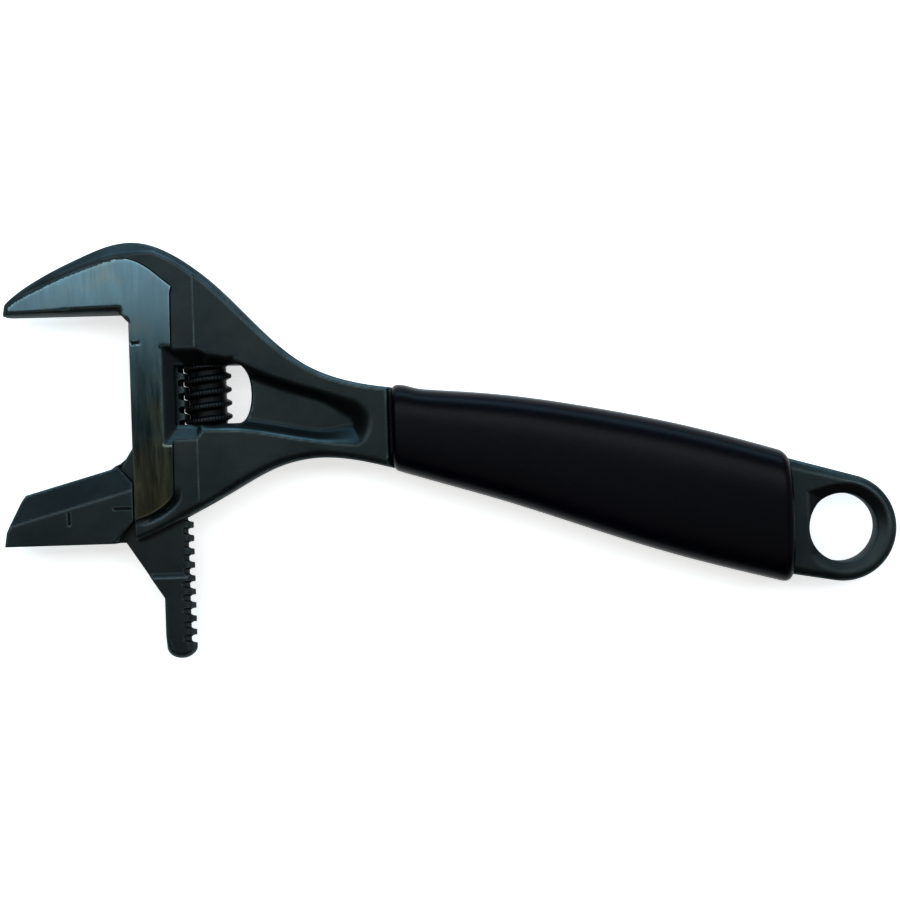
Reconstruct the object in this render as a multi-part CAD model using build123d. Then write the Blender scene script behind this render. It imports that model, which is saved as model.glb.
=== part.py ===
from build123d import *
import math
import os

# Adjustable wrench with a reversible jaw and an extra-wide opening, in millimetres.
#
# Frame: the origin is the centre of the hanging hole, on the middle plane.
#   +X runs from the jaws towards the hanging ring, square to the way the jaw slides.
#   +Y is the way the movable jaw slides to close. The fixed jaw is at the +Y end.
#   +Z is the thickness, so the wrench lies flat on the XY plane.
# The movable jaw is fitted reversed, with its inclined pipe face towards the fixed jaw.

# ---- driving dimensions ------------------------------------------------------------------

# Head
FIXED_FACE_Y = 56.2  # gripping face of the fixed jaw
THROAT_X = -166.3  # wall that the movable jaw slides along
THROAT_CHAMFER = 2.6
JAW_TIP_X = -196.4
HEAD_TOP_Y = 72.5
HEAD_HALF = 6.4  # half thickness of the head's flanks
PAD_HALF = 7.0  # half thickness of the ground pads, the thickest part of the head
JAW_TIP_HALF = 4.0  # half thickness of the flanks at the jaw's tip
PAD_STEP = PAD_HALF - HEAD_HALF
BORE_LOW_Y = -20.0  # the two bores of the head are cut from well below its lower edge
NECK_END_X = -104.0  # where the neck reaches its own thickness

# Neck, shank and hanging ring
NECK_HALF = 5.6
SHANK_HALF = 4.6
RING_HALF = 4.0
RING_RADIUS = 12.6
RING_CHAMFER = 1.0
BAND_X = -14.0  # where the band that carries the ring starts, under the grip
HOLE_RADIUS = 8.1
DISH_RADIUS = 11.0  # shallow dish round the hole, on both faces
DISH_DEPTH = 1.1
DISH_FLAT_X = -8.5  # straight side of the dish, towards the grip
WEB_HALF = 2.6  # half thickness of the neck's web, between its two pockets

# Grip
GRIP_FRONT_X = -105.6
GRIP_REAR_X = -12.0
GRIP_HALF = 9.4
GRIP_EDGE = 3.6  # chamfer round both flat sides of the grip
GRIP_WALL = 2.2  # rubber between the shank's edge and the grip's outline

# Worm and its window
LEAD = 3.175  # one thread, eight to the inch
WORM_X = -149.0
WORM_RADIUS = 5.6
THREAD_DEPTH = 1.4
WORM_LOW_Y = 29.5
WORM_HIGH_Y = 43.0
MESH_Y = 35.8  # where a crest of the worm sits in the middle of a gap of the rack
WINDOW_LEFT_X = -156.2
WINDOW_RIGHT_X = -138.5
WINDOW_LOW_Y = 29.3
WINDOW_HIGH_Y = 43.2
WINDOW_END = 3.1  # length of the window's rounded right-hand end
RELIEF_LEFT_X = -158.0
RELIEF_RIGHT_X = -149.2
RELIEF_LOW_Y = 25.6
RELIEF_HIGH_Y = 47.2
RELIEF_FLOOR_X = -151.0  # right-hand end of the relief where it is deepest
RELIEF_FLOOR_HALF = 4.0
PIN_RADIUS = 1.6
PIN_FIT = 0.05  # radial clearance of the worm on its pin
PIN_TOP_Y = 50.0
PIN_THREAD_RADIUS = 2.5
PIN_THREAD_TOP_Y = 22.0
PIN_END_Y = 13.0
PIN_THREAD_OVERLAP = 1.0  # how far the pin's shaft runs into its threaded end
PIN_SLOT = (2.4, 0.9)  # twice the depth, and the width, of the screwdriver slot
SPRING_WIRE = 0.5
SPRING_FIT = 0.05  # room between the spring and the window's lower wall
SPRING_RADIUS = 2.15  # to the middle of the wire
SPRING_TURNS = 4
SPRING_POCKET_RADIUS = 2.7
SPRING_POCKET_DEPTH = 3.6

# Movable jaw
RACK_X = -157.0  # axis of the toothed guide bar
RACK_RADIUS = 3.5
RACK_FIT = 0.1  # radial clearance of the guide bar in its bore
RACK_TOP_Y = 43.2
RACK_END_Y = -25.8
BAR_FLAT = 2.7  # half thickness over the flats on the guide bar
TAIL_FLAT = 2.9  # the same on the tail, below the step
JAW_WEB = 2.3  # half thickness of the web between block and bar
TAIL_STEP_Y = -6.2
TAIL_ROUND = 3.1  # radius round the lower end of the guide bar
SLOT_HALF = 3.0  # half width of the slot that the web slides in
BLOCK_HALF = 6.6
BLOCK_TIP_HALF = 5.4
BLOCK_BOTTOM_Y = 1.9  # parallel face, for nuts when the jaw is turned round
BLOCK_TIP_X = -197.2
BLOCK_HEEL_X = -166.7
PIPE_FACE_ANGLE = 15.0
PIPE_BEVEL = (6.1, 2.4)  # width and drop of the bevel beside the pipe face
WEB_RAMP = 57.0  # slope of the web's two ends
WEB_RAMP_START = (-169.0, 21.6)  # where the web's upper ramp leaves the block
CLOSING_TRAVEL = 27.0
SLOT_END_GAP = 0.4  # room left above the ramp when the jaw is closed

# Tooth shape, measured along the worm
WORM_CREST = 0.95
FLANK_ANGLE = 20.0
TOOTH_GAP = 0.1  # clearance on each flank between worm and rack

# Cutting shapes reach this far past the steel that they cut
OVERSIZE = 20.0


# ---- small helpers -----------------------------------------------------------------------


def slab(face, half):
    """A plan outline made solid, from -half to +half in Z."""
    return extrude(face, half, both=True)


def closed(*edges):
    """The face inside a ring of edges."""
    return make_face(Wire(list(edges)))


def polygon(points):
    return make_face(Polyline(*points, close=True))


def cylinder_y(x, radius, low, high):
    """A cylinder whose axis runs along Y at the given X, on the middle plane."""
    plane = Plane(origin=(x, low, 0), x_dir=(1, 0, 0), z_dir=(0, 1, 0))
    return extrude(plane * Circle(radius), high - low)


def side_profile(stations):
    """A solid as thick as its stations say, (x, half thickness), straight between them."""
    lowest, highest = BORE_LOW_Y - OVERSIZE, HEAD_TOP_Y + OVERSIZE
    upper = [(x, half) for x, half in stations]
    lower = [(x, -half) for x, half in reversed(stations)]
    face = Plane.XZ * polygon(upper + lower)
    return extrude(face, highest - lowest).moved(Location((0, highest, 0)))


# ---- body: fixed jaw, head, neck, shank and ring -------------------------------------------


def shank_outline():
    """The part of the forging that the grip covers, one wall thickness inside the grip."""
    upper, lower = grip_edges(GRIP_WALL)
    return closed(
        upper,
        Line(upper @ 1, lower @ 1),
        lower,
        Line(upper @ 0, lower @ 0),
    )


def touch_point(x, y, side):
    """Where a line from (x, y) touches the ring's outer circle, on the +1 or -1 side."""
    swing = side * math.acos(RING_RADIUS / math.hypot(x, y))
    angle = math.atan2(y, x) - swing
    return (RING_RADIUS * math.cos(angle), RING_RADIUS * math.sin(angle))


def ring_outline():
    """The hanging ring, with its band running back under the grip."""
    band_top = (BAND_X, 17.2)
    band_bottom = (BAND_X, -10.3)
    top = touch_point(*band_top, 1)
    bottom = touch_point(*band_bottom, -1)
    return closed(
        Line(band_top, top),
        ThreePointArc(top, (RING_RADIUS, 0), bottom),
        Line(bottom, band_bottom),
        Line(band_bottom, band_top),
    )


def head_outline():
    """Fixed jaw, head and neck, up to the front end of the grip."""
    tip = (JAW_TIP_X, FIXED_FACE_Y)
    nose = (JAW_TIP_X + 0.4, FIXED_FACE_Y + 2.6)
    neck_top = (GRIP_FRONT_X, 36.6)
    neck_bottom = (GRIP_FRONT_X, 17.4)
    lip = (THROAT_X, 2.4)
    crown = Spline(
        nose,
        (-189.0, 63.9),
        (-177.0, 69.6),
        (-165.2, HEAD_TOP_Y),
        (-155.6, 69.2),
        (-140.3, 55.8),
        (-124.4, 41.9),
        neck_top,
        tangents=[(2, 2), (1, -0.12)],
    )
    belly = Spline(
        (-141.6, 14.4),
        (-132.5, 18.8),
        (-122.0, 20.5),
        neck_bottom,
        tangents=[(1, 0.56), (1, -0.28)],
    )
    lower_lip = Spline(lip, (-159.1, 5.4), (-141.6, 14.4), tangents=[(1, 0.34), (1, 0.56)])
    throat_top = (THROAT_X, FIXED_FACE_Y - THROAT_CHAMFER)
    jaw_root = (THROAT_X - THROAT_CHAMFER, FIXED_FACE_Y)
    return closed(
        Line(tip, nose),
        crown,
        Line(neck_top, neck_bottom),
        belly,
        lower_lip,
        Line(lip, throat_top),
        Line(throat_top, jaw_root),
        Line(jaw_root, tip),
    )


def pad_outline():
    """The ground L-shaped pad: along the fixed jaw and down the throat."""
    tip_low = (JAW_TIP_X + 1.2, FIXED_FACE_Y)
    tip_high = (JAW_TIP_X + 2.2, 60.0)
    crest = (-168.2, 68.6)
    shoulder = (-156.0, 61.8)
    right_low = (-156.9, 14.0)
    foot = (THROAT_X, 7.0)
    return closed(
        Line(tip_low, tip_high),
        Spline(tip_high, (-183.2, 64.3), crest, tangents=[(1, 0.5), (1, 0.2)]),
        Spline(crest, (-161.6, 66.2), shoulder, tangents=[(1, 0), (1, -0.7)]),
        Line(shoulder, (-156.4, 47.0)),
        Line((-156.4, 47.0), right_low),
        Spline(right_low, (-159.4, 10.2), foot, tangents=[(0, -1), (-1, -0.25)]),
        Line(foot, (THROAT_X, FIXED_FACE_Y - THROAT_CHAMFER)),
        Line(
            (THROAT_X, FIXED_FACE_Y - THROAT_CHAMFER),
            (THROAT_X - THROAT_CHAMFER, FIXED_FACE_Y),
        ),
        Line((THROAT_X - THROAT_CHAMFER, FIXED_FACE_Y), tip_low),
    )


def neck_pocket():
    """The recess between the neck's two ribs, cut in both faces and open to the window."""
    start = (-146.0, 44.4)
    end = (-146.0, 28.0)
    outline = closed(
        Spline(start, (-135.6, 41.3), (-114.5, 34.4), tangents=[(1, 0), (1, -0.3)]),
        Spline(
            (-114.5, 34.4),
            (-109.9, 28.8),
            (-114.3, 23.1),
            tangents=[(1, -0.3), (-1, 0.1)],
        ),
        Spline((-114.3, 23.1), (-129.0, 25.6), end, tangents=[(-1, 0.15), (-1, 0.15)]),
        Line(end, start),
    )
    deep = extrude(Plane.XY.offset(WEB_HALF) * outline, OVERSIZE)
    return deep + mirror(deep, about=Plane.XY)


def worm_window():
    """The window that the worm sits in, with its rounded right-hand end."""
    middle = (WINDOW_LOW_Y + WINDOW_HIGH_Y) / 2
    bend_x = WINDOW_RIGHT_X - WINDOW_END
    outline = closed(
        Line((WINDOW_LEFT_X, WINDOW_LOW_Y), (WINDOW_LEFT_X, WINDOW_HIGH_Y)),
        Line((WINDOW_LEFT_X, WINDOW_HIGH_Y), (bend_x, WINDOW_HIGH_Y)),
        EllipticalCenterArc(
            (bend_x, middle), WINDOW_END, WINDOW_HIGH_Y - middle, start_angle=-90, arc_size=180
        ),
        Line((bend_x, WINDOW_LOW_Y), (WINDOW_LEFT_X, WINDOW_LOW_Y)),
    )
    return slab(outline, OVERSIZE)


def window_countersink():
    """The sloping relief round the left of the window that lets a thumb reach the worm."""
    inner = Plane.XY.offset(RELIEF_FLOOR_HALF) * polygon(
        [
            (WINDOW_LEFT_X, WINDOW_LOW_Y),
            (WINDOW_LEFT_X, WINDOW_HIGH_Y),
            (RELIEF_FLOOR_X, WINDOW_HIGH_Y),
            (RELIEF_FLOOR_X, WINDOW_LOW_Y),
        ]
    )
    outer = Plane.XY.offset(PAD_HALF + 0.1) * polygon(
        [
            (RELIEF_LEFT_X, RELIEF_LOW_Y),
            (RELIEF_LEFT_X, RELIEF_HIGH_Y),
            (RELIEF_RIGHT_X, RELIEF_HIGH_Y),
            (RELIEF_RIGHT_X, RELIEF_LOW_Y),
        ]
    )
    cut = loft([inner, outer])
    return cut + mirror(cut, about=Plane.XY)


def jaw_slot():
    """The slot that the movable jaw's web slides in, up to the end of the closing travel."""
    slope = math.tan(math.radians(WEB_RAMP))
    ramp_x, ramp_y = WEB_RAMP_START
    stop_y = ramp_y + (THROAT_X - ramp_x) * slope + CLOSING_TRAVEL + SLOT_END_GAP
    reach = RACK_X - THROAT_X
    climb = reach * slope
    outline = polygon(
        [
            (THROAT_X - OVERSIZE, BORE_LOW_Y),
            (THROAT_X - OVERSIZE, stop_y),
            (THROAT_X, stop_y),
            (THROAT_X + reach, stop_y + climb),
            (THROAT_X + reach, BORE_LOW_Y),
        ]
    )
    return slab(outline, SLOT_HALF)


def ring_dish():
    """The shallow D-shaped dish round the hanging hole, on both faces."""
    side = 3 * DISH_RADIUS
    right_side = Location((DISH_FLAT_X, 0, 0)) * Rectangle(
        side, side, align=(Align.MIN, Align.CENTER)
    )
    outline = Circle(DISH_RADIUS) & right_side
    cut = extrude(Plane.XY.offset(RING_HALF - DISH_DEPTH) * outline, OVERSIZE)
    return cut + mirror(cut, about=Plane.XY)


def make_body():
    flanks = side_profile(
        [(-200, JAW_TIP_HALF), (-172, HEAD_HALF), (-150, HEAD_HALF), (NECK_END_X, NECK_HALF)]
    )
    pads = side_profile([(-200, JAW_TIP_HALF + PAD_STEP), (-170, PAD_HALF), (-150, PAD_HALF)])
    head = slab(head_outline(), OVERSIZE) & flanks
    head = head + (slab(pad_outline(), OVERSIZE) & pads)
    shank = slab(shank_outline(), SHANK_HALF)
    ring = slab(ring_outline(), RING_HALF)
    rim = ring.edges().filter_by(Plane.XY).filter_by(lambda edge: edge.bounding_box().max.X > 0)
    ring = chamfer(rim, RING_CHAMFER)
    body = head + shank + ring
    body = body - worm_window() - window_countersink() - neck_pocket() - jaw_slot()
    body = body - cylinder_y(RACK_X, RACK_RADIUS + RACK_FIT, BORE_LOW_Y, HEAD_TOP_Y + OVERSIZE)
    body = body - cylinder_y(WORM_X, PIN_RADIUS, PIN_THREAD_TOP_Y, PIN_TOP_Y)
    body = body - cylinder_y(WORM_X, PIN_THREAD_RADIUS, BORE_LOW_Y, PIN_THREAD_TOP_Y)
    body = body - ring_dish()
    return body - slab(Circle(HOLE_RADIUS), OVERSIZE)


# ---- grip ----------------------------------------------------------------------------------


def grip_edges(inset=0.0):
    """The grip's upper and lower edges, moved inwards by the inset, front to rear."""
    upper = [(GRIP_FRONT_X, 37.2), (-81.0, 34.2), (-57.2, 30.1), (GRIP_REAR_X, 18.2)]
    lower = [(GRIP_FRONT_X, 17.1), (-81.6, 9.5), (-58.2, 1.2), (GRIP_REAR_X, -12.9)]
    return (
        Spline(*[(x, y - inset) for x, y in upper]),
        Spline(*[(x, y + inset) for x, y in lower]),
    )


def make_grip():
    upper, lower = grip_edges()
    outline = closed(upper, Line(upper @ 1, lower @ 1), lower, Line(upper @ 0, lower @ 0))
    sleeve = slab(outline, GRIP_HALF)
    faces = sleeve.faces().filter_by(Plane.XY)
    sleeve = chamfer(faces.edges(), GRIP_EDGE)
    return sleeve - slab(shank_outline(), SHANK_HALF) - slab(ring_outline(), RING_HALF)


# ---- worm, pin and spring --------------------------------------------------------------------


def make_worm():
    length = WORM_HIGH_Y - WORM_LOW_Y
    base = (Align.CENTER, Align.CENTER, Align.MIN)
    root = WORM_RADIUS - THREAD_DEPTH
    sunk = 0.2  # how far the thread's foot goes into the core
    half_crest = WORM_CREST / 2
    half_foot = half_crest + (THREAD_DEPTH + sunk) * math.tan(math.radians(FLANK_ANGLE))
    turns = math.ceil(length / LEAD) + 3
    path = Helix(LEAD, turns * LEAD, root)
    start = path @ 0
    section = Plane(origin=start, x_dir=(1, 0, 0), z_dir=path % 0)
    profile = section * Polygon(
        (-sunk, -half_foot),
        (THREAD_DEPTH, -half_crest),
        (THREAD_DEPTH, half_crest),
        (-sunk, half_foot),
        align=None,
    )
    thread = sweep(profile, path=path, is_frenet=True)
    crest_height = MESH_Y - WORM_LOW_Y  # a crest faces the rack at this height
    turns_below = math.ceil(crest_height / LEAD) + 1
    thread = thread.moved(Location((0, 0, crest_height - turns_below * LEAD)))
    core = Cylinder(root, (turns + 4) * LEAD, align=base).moved(Location((0, 0, -3 * LEAD)))
    worm = (core + thread) & Box(3 * WORM_RADIUS, 3 * WORM_RADIUS, length, align=base)
    bore = Cylinder(PIN_RADIUS + PIN_FIT, 3 * length)
    pocket = Cylinder(SPRING_POCKET_RADIUS, 2 * SPRING_POCKET_DEPTH)
    worm = worm - bore - pocket
    # Stand the worm along +Y, with the helix starting on the side of the rack.
    upright = Plane(origin=(WORM_X, WORM_LOW_Y, 0), x_dir=(-1, 0, 0), z_dir=(0, 1, 0))
    return upright * worm


def make_worm_pin():
    shaft = cylinder_y(WORM_X, PIN_RADIUS, PIN_THREAD_TOP_Y - PIN_THREAD_OVERLAP, PIN_TOP_Y)
    screw = cylinder_y(WORM_X, PIN_THREAD_RADIUS, PIN_END_Y, PIN_THREAD_TOP_Y)
    slot = Location((WORM_X, PIN_END_Y, 0)) * Box(OVERSIZE, *PIN_SLOT)
    return shaft + screw - slot


def make_worm_spring():
    pitch = (SPRING_POCKET_DEPTH - SPRING_WIRE) / SPRING_TURNS
    path = Helix(pitch, pitch * SPRING_TURNS, SPRING_RADIUS)
    section = Plane(origin=path @ 0, z_dir=path % 0) * Circle(SPRING_WIRE / 2)
    coil = sweep(section, path=path, is_frenet=True)
    base_y = WINDOW_LOW_Y + SPRING_WIRE / 2 + SPRING_FIT
    return Plane(origin=(WORM_X, base_y, 0), x_dir=(-1, 0, 0), z_dir=(0, 1, 0)) * coil


# ---- movable jaw -----------------------------------------------------------------------------


def jaw_block():
    """The jaw block: inclined pipe face above, parallel face below, corners cut at the heel."""
    rise = math.tan(math.radians(PIPE_FACE_ANGLE))
    top_heel = (-172.0, 19.3)
    nose_x = -192.4
    top_nose = (nose_x, top_heel[1] + (nose_x - top_heel[0]) * rise)
    outline = polygon(
        [
            (BLOCK_TIP_X, BLOCK_BOTTOM_Y),
            (BLOCK_TIP_X + 0.5, 5.2),
            (-193.4, 12.4),
            top_nose,
            top_heel,
            (-170.8, 20.2),
            (BLOCK_HEEL_X, 15.9),
            (BLOCK_HEEL_X, 7.3),
            (-171.3, BLOCK_BOTTOM_Y),
        ]
    )
    thickness = side_profile([(BLOCK_TIP_X, BLOCK_TIP_HALF), (BLOCK_HEEL_X, BLOCK_HALF)])
    bevel = pipe_face_bevel(top_heel, rise)
    return (slab(outline, OVERSIZE) & thickness) - bevel - mirror(bevel, about=Plane.XY)


def pipe_face_bevel(top_heel, rise):
    """The wide bevel between the block's flank and its pipe face, on the +Z side."""
    width, drop = PIPE_BEVEL
    taper = (BLOCK_HALF - BLOCK_TIP_HALF) / (BLOCK_HEEL_X - BLOCK_TIP_X)
    normal = Vector(-rise, 1, 0).normalized()
    along = Vector(1, rise, taper).normalized()
    crease = Vector(*top_heel, BLOCK_HALF) - normal * width
    far, high = 3 * width, BLOCK_HALF
    wedge = Polygon((0, 0), (far, -3 * drop), (far, high), (0, high), align=None)
    length = 4 * OVERSIZE  # more than the block's own length, centred on its heel
    plane = Plane(origin=crease - along * length / 2, x_dir=normal, z_dir=along)
    return extrude(plane * wedge, length)


def jaw_web():
    """The thin web between block and bar, and the thicker tail below the step."""
    slope = math.tan(math.radians(WEB_RAMP))
    overlap_low = (-171.3, BLOCK_BOTTOM_Y)
    overlap_high = (-170.9, 20.1)
    low_start = (-169.2, BLOCK_BOTTOM_Y)
    left_x = RACK_X - RACK_RADIUS
    low_end = (left_x, low_start[1] - (left_x - low_start[0]) * slope)
    high_start = WEB_RAMP_START
    high_end = (RACK_X, high_start[1] + (RACK_X - high_start[0]) * slope)
    outline = polygon(
        [
            overlap_low,
            low_start,
            low_end,
            (RACK_X, low_end[1]),
            high_end,
            high_start,
            overlap_high,
        ]
    )
    side = 3 * OVERSIZE
    below = Location((RACK_X, TAIL_STEP_Y, 0)) * Rectangle(
        side, side, align=(Align.CENTER, Align.MAX)
    )
    return slab(outline, JAW_WEB) + slab(outline & below, TAIL_FLAT)


def tooth_gap(y):
    """One slanting groove of the rack, cut to clear the worm's thread."""
    spread = math.tan(math.radians(FLANK_ANGLE))
    half_floor = WORM_CREST / 2 + TOOTH_GAP
    past = 1.0  # how far the groove's mouth stands past the bar's crest
    half_mouth = half_floor + (THREAD_DEPTH + past) * spread
    crest_x = RACK_X + RACK_RADIUS
    outline = polygon(
        [
            (crest_x - THREAD_DEPTH, -half_floor),
            (crest_x - THREAD_DEPTH, half_floor),
            (crest_x + past, half_mouth),
            (crest_x + past, -half_mouth),
        ]
    )
    lead_angle = math.degrees(math.atan2(LEAD, 2 * math.pi * (WORM_RADIUS - THREAD_DEPTH / 2)))
    groove = slab(outline, OVERSIZE)
    return Location((0, y, 0)) * groove.rotate(Axis.X, -lead_angle)


def guide_bar():
    """The toothed bar: round, with two flats, a rounded tail and a thicker stretch below."""
    bar = cylinder_y(RACK_X, RACK_RADIUS, RACK_END_Y, RACK_TOP_Y)
    bar = fillet(bar.edges().sort_by(Axis.Y)[0], TAIL_ROUND)
    upper = Location((RACK_X, (RACK_TOP_Y + TAIL_STEP_Y) / 2, 0)) * Box(
        OVERSIZE, RACK_TOP_Y - TAIL_STEP_Y, 2 * BAR_FLAT
    )
    lower = Location((RACK_X, (RACK_END_Y + TAIL_STEP_Y) / 2, 0)) * Box(
        OVERSIZE, TAIL_STEP_Y - RACK_END_Y, 2 * TAIL_FLAT
    )
    return bar & (upper + lower)


def make_movable_jaw():
    jaw = jaw_block() + jaw_web() + guide_bar()
    above = math.floor((RACK_TOP_Y - MESH_Y) / LEAD)
    below = math.floor((MESH_Y - RACK_END_Y) / LEAD) - 1
    gaps = [tooth_gap(MESH_Y + i * LEAD) for i in range(-below, above + 1)]
    return jaw - gaps


# ---- write one file for each piece -----------------------------------------------------------

os.makedirs("parts", exist_ok=True)
pieces = {
    "body": make_body(),
    "movable_jaw": make_movable_jaw(),
    "worm": make_worm(),
    "worm_pin": make_worm_pin(),
    "worm_spring": make_worm_spring(),
    "grip": make_grip(),
}
for name, piece in pieces.items():
    export_step(piece, f"parts/{name}.step")
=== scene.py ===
import math

import bpy
import numpy as np
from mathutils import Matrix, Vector, geometry


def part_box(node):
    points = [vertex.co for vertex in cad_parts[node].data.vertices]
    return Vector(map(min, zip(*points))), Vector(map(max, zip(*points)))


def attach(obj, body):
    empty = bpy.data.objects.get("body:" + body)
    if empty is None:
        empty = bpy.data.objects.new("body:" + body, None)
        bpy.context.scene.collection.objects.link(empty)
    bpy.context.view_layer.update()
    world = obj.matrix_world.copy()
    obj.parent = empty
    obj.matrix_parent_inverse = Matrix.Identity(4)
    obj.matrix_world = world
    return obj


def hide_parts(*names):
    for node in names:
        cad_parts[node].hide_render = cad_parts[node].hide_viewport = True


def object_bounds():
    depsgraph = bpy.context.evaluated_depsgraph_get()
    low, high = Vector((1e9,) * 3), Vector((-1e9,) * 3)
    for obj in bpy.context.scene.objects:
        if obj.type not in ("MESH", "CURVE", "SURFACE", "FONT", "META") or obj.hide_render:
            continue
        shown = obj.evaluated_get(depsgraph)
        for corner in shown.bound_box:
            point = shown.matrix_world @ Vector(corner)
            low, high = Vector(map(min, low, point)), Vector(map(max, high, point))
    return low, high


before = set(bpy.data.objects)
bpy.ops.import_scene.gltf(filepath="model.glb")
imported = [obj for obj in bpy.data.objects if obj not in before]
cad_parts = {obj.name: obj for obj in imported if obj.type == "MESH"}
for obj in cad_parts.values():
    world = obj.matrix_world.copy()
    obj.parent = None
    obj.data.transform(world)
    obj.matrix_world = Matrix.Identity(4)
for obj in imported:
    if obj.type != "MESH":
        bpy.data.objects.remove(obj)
cad_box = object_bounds()

# Lengths below are in millimetres in the row frame, and become metres in mesh_object().
MM = 0.001

# ---- sizes shared by the pieces, read from the frame or as the CAD part has them -----------

GRIP_LOW, GRIP_HIGH = (np.array(corner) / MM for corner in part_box("grip"))
WORM_LOW, WORM_HIGH = (np.array(corner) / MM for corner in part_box("worm"))
GRIP_FRONT_X = GRIP_LOW[0]
GRIP_REAR_X = GRIP_HIGH[0]
GRIP_HALF = GRIP_HIGH[2]

FIXED_FACE_Y = 56.2
THROAT_X = -166.3
THROAT_CHAMFER = 2.6
JAW_TIP_X = -196.4
HEAD_TOP_Y = 72.5
RING_RADIUS = 12.6
HOLE_RADIUS = 8.1
WEB_HALF = 2.6
PAD_STEP = 0.6
BAND_X = -151.0  # right-hand edge of the band beside the pad

RACK_X = -157.0
BORE_RADIUS = 3.6
SLOT_HALF = 3.0
SLOT_TOP_Y = 53.2
WEB_RAMP = math.radians(57)
PIN_HOLE_RADIUS = 2.5
PIN_THREAD_TOP_Y = 22.0
BORE_LOW_Y = -20.0  # the bores and the slot are cut from well below the head
OVERSIZE = 5.0  # how far cutting tools reach past the steel

WINDOW_LEFT_X = -156.2
WINDOW_RIGHT_X = -138.5
WINDOW_LOW_Y = 29.3
WINDOW_HIGH_Y = 43.2
WINDOW_END = 3.1  # length of the window's rounded right-hand end

SHANK_HALF = 4.4
GRIP_WALL = 2.2
BAND_START_X = -14.0  # where the band that carries the ring starts, under the grip

LEAD = 3.175
WORM_X = -149.0
WORM_RADIUS = 5.6
THREAD_DEPTH = 1.4
ROOT_DEPTH = 1.2  # of the worm's visual thread, with its round root
MESH_Y = 35.8
PIN_BORE = 1.65
SPRING_POCKET = (2.7, 3.6)

RACK_RADIUS = 3.5
RACK_TOP_Y = 43.2
RACK_END_Y = -25.8
TAIL_STEP_Y = -6.2
FOOT_HEIGHT = 2.75  # of the rounded end of the rack
BLOCK_BOTTOM_Y = 1.9
BLOCK_TIP_X = -197.2
BLOCK_HEEL_X = -166.7
BLOCK_HALF = 6.6
BLOCK_TIP_HALF = 5.4
DISH_RADIUS = 11.0
DISH_FLAT_X = -8.5  # straight side of the dish, towards the grip
TICK_DEPTH = 0.2
JAW_TICKS = [((-170.9, 10.1), (-167.3, 10.1)), ((-181.8, 6.8), (-181.8, 9.2))]
PAD_TICKS = [((-165.4, 48.8), (-164.4, 48.8))]
PIPE_FACE_RISE = math.tan(math.radians(15))

GRID = 0.5  # spacing of the points that model a forged surface


# ---- curves and plane regions ---------------------------------------------------------------


def spline(points, start=None, end=None, step=0.5):
    """Points every step or so along a smooth cubic curve through the given ones."""
    p = np.array(points, float)
    n = len(p)
    h = np.hypot(*np.diff(p, axis=0).T)
    slope = np.diff(p, axis=0) / h[:, None]
    a, b = np.zeros((n, n)), np.zeros((n, 2))
    for i in range(1, n - 1):
        a[i, i - 1 : i + 2] = h[i], 2 * (h[i - 1] + h[i]), h[i - 1]
        b[i] = 3 * (h[i] * slope[i - 1] + h[i - 1] * slope[i])
    for row, other, wanted, run in ((0, 1, start, slope[0]), (n - 1, n - 2, end, slope[-1])):
        if wanted is None:
            a[row, row], a[row, other], b[row] = 2, 1, 3 * run
        else:
            a[row, row], b[row] = 1, np.array(wanted) / np.hypot(*wanted)
    m = np.linalg.solve(a, b)
    found = []
    for i in range(n - 1):
        t = np.arange(0, 1, 1 / max(2, round(h[i] / step)))[:, None]
        found.append(
            p[i] * (2 * t**3 - 3 * t**2 + 1)
            + p[i + 1] * (3 * t**2 - 2 * t**3)
            + m[i] * h[i] * (t**3 - 2 * t**2 + t)
            + m[i + 1] * h[i] * (t**3 - t**2)
        )
    return np.concatenate(found + [p[-1:]])


def line(a, b, step=0.5):
    a, b = np.array(a, float), np.array(b, float)
    n = max(1, round(np.hypot(*(b - a)) / step))
    return a + (b - a) * np.linspace(0, 1, n + 1)[:, None]


def arc(centre, radius, start, end, step=0.5):
    """Part of a circle, its angles in degrees."""
    n = max(2, round(abs(math.radians(end - start)) * radius / step))
    t = np.radians(np.linspace(start, end, n + 1))
    return np.array(centre) + radius * np.stack([np.cos(t), np.sin(t)], axis=1)


def loop(*parts):
    """One closed ring of points from parts that follow each other, without doubled points."""
    p = np.concatenate(parts)
    keep = np.hypot(*(p - np.roll(p, 1, axis=0)).T) > 1e-4
    return p[keep]


def distance(points, path, closed=False):
    """How far each point is from a line of points."""
    a = np.array(path)
    b = np.roll(a, -1, axis=0) if closed else a[1:]
    a = a if closed else a[:-1]
    best = np.full(len(points), np.inf)
    for p0, p1 in zip(a, b):
        d = p1 - p0
        t = np.clip(((points - p0) @ d) / max(d @ d, 1e-12), 0, 1)
        best = np.minimum(best, np.hypot(*(points - p0 - t[:, None] * d).T))
    return best


def inside(points, ring):
    x, y = points.T
    found = np.zeros(len(points), bool)
    for (x0, y0), (x1, y1) in zip(ring, np.roll(ring, -1, axis=0)):
        if y0 != y1:
            crosses = ((y0 > y) != (y1 > y)) & (x < (x1 - x0) * (y - y0) / (y1 - y0) + x0)
            found ^= crosses
    return found


def depth_inside(points, ring):
    """Distance to a closed ring, positive inside it and negative outside."""
    d = distance(points, ring, closed=True)
    return np.where(inside(points, ring), d, -d)


def in_region(points, rings):
    """Whether points lie inside the first ring and outside the others."""
    keep = inside(points, rings[0])
    for ring in rings[1:]:
        keep &= ~inside(points, ring)
    return keep


def ramp(value, low, high):
    """0 below low and 1 above high, smooth between them."""
    t = np.clip((value - low) / (high - low), 0, 1)
    return t * t * (3 - 2 * t)


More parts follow.
